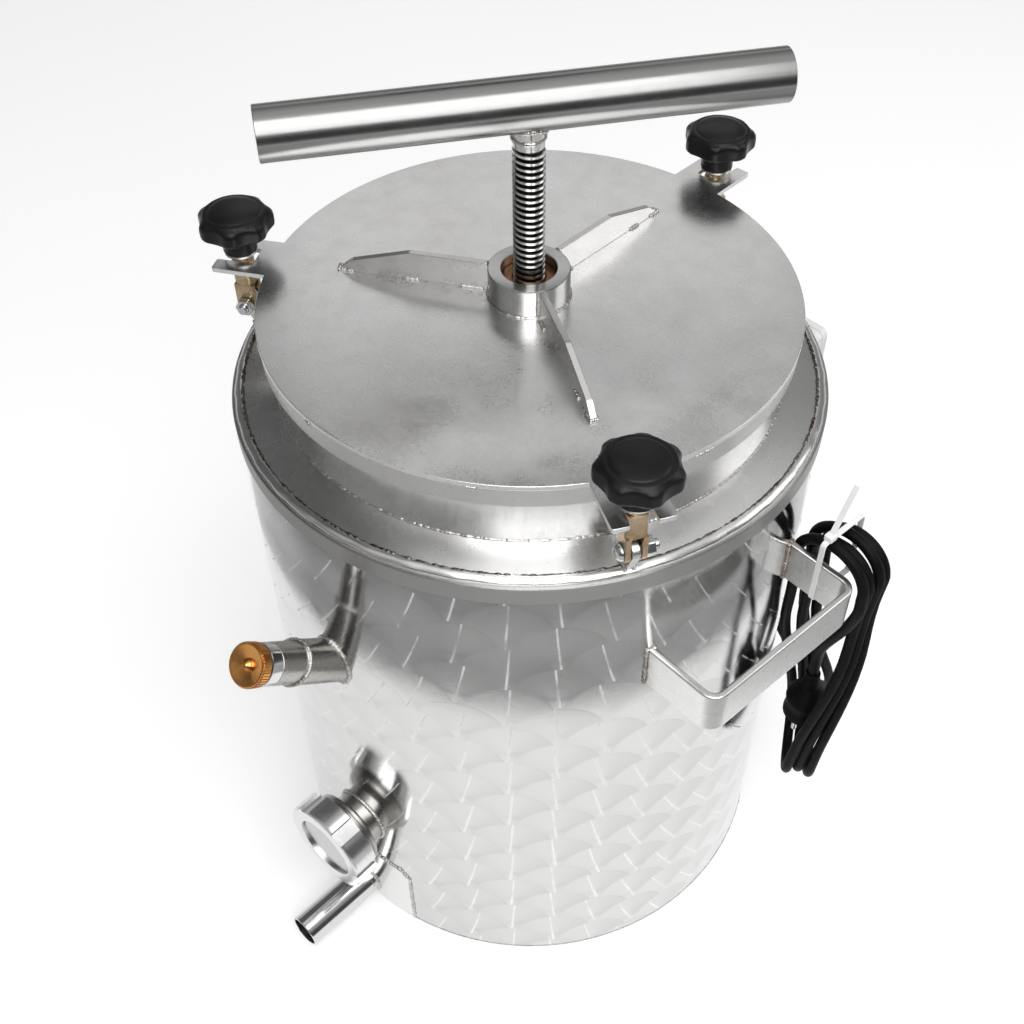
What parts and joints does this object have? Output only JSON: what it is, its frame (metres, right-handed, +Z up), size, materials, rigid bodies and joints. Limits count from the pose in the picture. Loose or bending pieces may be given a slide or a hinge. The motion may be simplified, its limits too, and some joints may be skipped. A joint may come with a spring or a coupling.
{
  "type": "wax melter with press",
  "caption": "Double-walled wax melting vessel with a clamped flat lid, a screw press turned by a T-bar, a jacket filler, a union outlet and a drain spout.",
  "frame": {"origin": "centre of the base plate's underside, on the vessel's axis at floor level", "axes": "+Z up along the vessel and spindle, -Y towards the wax outlet, filler and drain spout"},
  "size_m": [0.5988, 0.6634, 0.7936],
  "materials": {
    "shell_steel": "engine-turned stainless sheet with overlapping swirls, bright",
    "satin_steel": "satin ground stainless plate",
    "bright_steel": "polished stainless steel",
    "pipe_steel": "dark satin stainless pipe with a raw weld",
    "bar_steel": "brushed flat bar and tube with polished edges",
    "zinc_steel": "bright zinc plating",
    "gold_zinc": "yellow passivated zinc, semi-bright",
    "brass": "turned brass with a knurled rim",
    "bronze": "oiled bronze, machined",
    "black_plastic": "moulded black plastic, satin",
    "box_plastic": "moulded pale plastic, fine grain",
    "red_plastic": "moulded red rocker",
    "lamp_lens": "amber lamp lens",
    "white_seal": "silicone seal, matt",
    "fibre_seal": "red fibre sealing ring",
    "cord_rubber": "matt black rubber cord",
    "tie_nylon": "white nylon strap",
    "heater_steel": "heater tube with straw heat tint"
  },
  "bodies": {
    "vessel": {"outer_shell": "shell_steel", "base_plate": "shell_steel", "shoulder_ring": "satin_steel", "rim_band": "shell_steel", "inner_tank": "satin_steel", "clamp_lugs": "satin_steel", "pivot_bolts": "zinc_steel", "handle_right": "bar_steel", "handle_left": "bar_steel", "filler_pipe": "pipe_steel", "filler_collar": "pipe_steel", "outlet_stub": "bright_steel", "drain_spout": "bright_steel", "spout_plate": "shell_steel", "box_bracket": "satin_steel", "control_box": "box_plastic", "box_cover": "box_plastic", "box_screws": "zinc_steel", "thermostat_body": "black_plastic", "thermostat_probe": "satin_steel", "switch_frame": "black_plastic", "pilot_lamp": "lamp_lens", "cable_gland": "black_plastic", "heating_element": "heater_steel", "basket": "satin_steel", "basket_stand": "satin_steel", "power_cord": "cord_rubber", "cord_hank": "cord_rubber", "plug": "cord_rubber", "cable_tie": "tie_nylon"},
    "lid": {"lid_plate": "satin_steel", "lid_skirt": "satin_steel", "lid_seal": "white_seal", "lid_hub": "bright_steel", "lid_ribs": "satin_steel", "spindle_nut": "bronze"},
    "press": {"press_plate": "satin_steel", "press_ribs": "satin_steel", "press_boss": "bright_steel", "boss_cover": "bright_steel"},
    "spindle": {"spindle": "bright_steel", "t_bar": "bar_steel", "tbar_plugs": "bar_steel"},
    "outlet_plug": {"blind_plug": "bright_steel", "union_gasket": "white_seal"},
    "union_nut": {"union_nut": "bright_steel"},
    "cap_seal": {"cap_seal": "fibre_seal"},
    "valve_cap": {"valve_cap": "brass"},
    "thermostat_knob": {"thermostat_knob": "black_plastic"},
    "rocker_switch": {"rocker_switch": "red_plastic"},
    "clamp_right": {"clamp_fork_right": "gold_zinc"},
    "washer_right": {"clamp_washer_right": "zinc_steel"},
    "knob_right": {"clamp_knob_right": "black_plastic"},
    "clamp_rear": {"clamp_fork_rear": "gold_zinc"},
    "washer_rear": {"clamp_washer_rear": "zinc_steel"},
    "knob_rear": {"clamp_knob_rear": "black_plastic"},
    "clamp_left": {"clamp_fork_left": "gold_zinc"},
    "washer_left": {"clamp_washer_left": "zinc_steel"},
    "knob_left": {"clamp_knob_left": "black_plastic"}
  },
  "joints": [
    {"name": "lid_lift", "type": "slide", "parent": "vessel", "child": "lid", "axis": [0, 0, 1], "range_m": [0, 0.0015]},
    {"name": "press_travel", "type": "slide", "parent": "lid", "child": "press", "axis": [0, 0, 1], "range_m": [-0.11, 0.09]},
    {"name": "spindle_turn", "type": "hinge", "parent": "press", "child": "spindle", "pos_m": [0, 0, 0.484], "axis": [0, 0, 1], "range_deg": [-7920, 6480]},
    {"name": "clamp_swing_right", "type": "hinge", "parent": "vessel", "child": "clamp_right", "pos_m": [0.20058, -0.12052, 0.574], "axis": [0.515, 0.8572, 0], "range_deg": [0, 105]},
    {"name": "back_off_right", "type": "slide", "parent": "clamp_right", "child": "washer_right", "axis": [0, 0, 1], "range_m": [-0.0016, 0.012]},
    {"name": "knob_turn_right", "type": "hinge", "parent": "washer_right", "child": "knob_right", "pos_m": [0.20058, -0.12052, 0.622], "axis": [0, 0, 1], "range_deg": [-460, 3450]},
    {"name": "clamp_swing_rear", "type": "hinge", "parent": "vessel", "child": "clamp_rear", "pos_m": [0.00408, 0.23396, 0.574], "axis": [-0.9998, 0.0175, 0], "range_deg": [0, 105]},
    {"name": "back_off_rear", "type": "slide", "parent": "clamp_rear", "child": "washer_rear", "axis": [0, 0, 1], "range_m": [-0.0016, 0.012]},
    {"name": "knob_turn_rear", "type": "hinge", "parent": "washer_rear", "child": "knob_rear", "pos_m": [0.00408, 0.23396, 0.622], "axis": [0, 0, 1], "range_deg": [-460, 3450]},
    {"name": "clamp_swing_left", "type": "hinge", "parent": "vessel", "child": "clamp_left", "pos_m": [-0.20466, -0.11345, 0.574], "axis": [0.4848, -0.8746, 0], "range_deg": [0, 105]},
    {"name": "back_off_left", "type": "slide", "parent": "clamp_left", "child": "washer_left", "axis": [0, 0, 1], "range_m": [-0.0016, 0.012]},
    {"name": "knob_turn_left", "type": "hinge", "parent": "washer_left", "child": "knob_left", "pos_m": [-0.20466, -0.11345, 0.622], "axis": [0, 0, 1], "range_deg": [-460, 3450]},
    {"name": "plug_draw", "type": "slide", "parent": "vessel", "child": "outlet_plug", "axis": [0, -1, 0], "range_m": [0, 0.018]},
    {"name": "nut_turn", "type": "hinge", "parent": "outlet_plug", "child": "union_nut", "pos_m": [0, -0.27, 0.1475], "axis": [0, -1, 0], "range_deg": [0, 1530]},
    {"name": "cap_draw", "type": "slide", "parent": "vessel", "child": "cap_seal", "axis": [0, -0.7431, 0.6691], "range_m": [0, 0.00924]},
    {"name": "cap_turn", "type": "hinge", "parent": "cap_seal", "child": "valve_cap", "pos_m": [0, -0.30708, 0.45191], "axis": [0, -0.7431, 0.6691], "range_deg": [0, 1440]},
    {"name": "thermostat_turn", "type": "hinge", "parent": "vessel", "child": "thermostat_knob", "pos_m": [0.03449, 0.32819, 0.396], "axis": [-0.1045, -0.9945, 0], "range_deg": [0, 270]},
    {"name": "switch_rock", "type": "hinge", "parent": "vessel", "child": "rocker_switch", "pos_m": [0.0101, 0.32573, 0.328], "axis": [-0.9945, 0.1045, 0], "range_deg": [0, 14]}
  ],
  "couplings": [
    {"joint": "press_travel", "follows": "spindle_turn", "m_per_rad": 0.00079577},
    {"joint": "back_off_right", "follows": "knob_turn_right", "m_per_rad": 0.00019894},
    {"joint": "back_off_rear", "follows": "knob_turn_rear", "m_per_rad": 0.00019894},
    {"joint": "back_off_left", "follows": "knob_turn_left", "m_per_rad": 0.00019894},
    {"joint": "plug_draw", "follows": "nut_turn", "m_per_rad": 0.00067375},
    {"joint": "cap_draw", "follows": "cap_turn", "m_per_rad": 0.00036749}
  ]
}
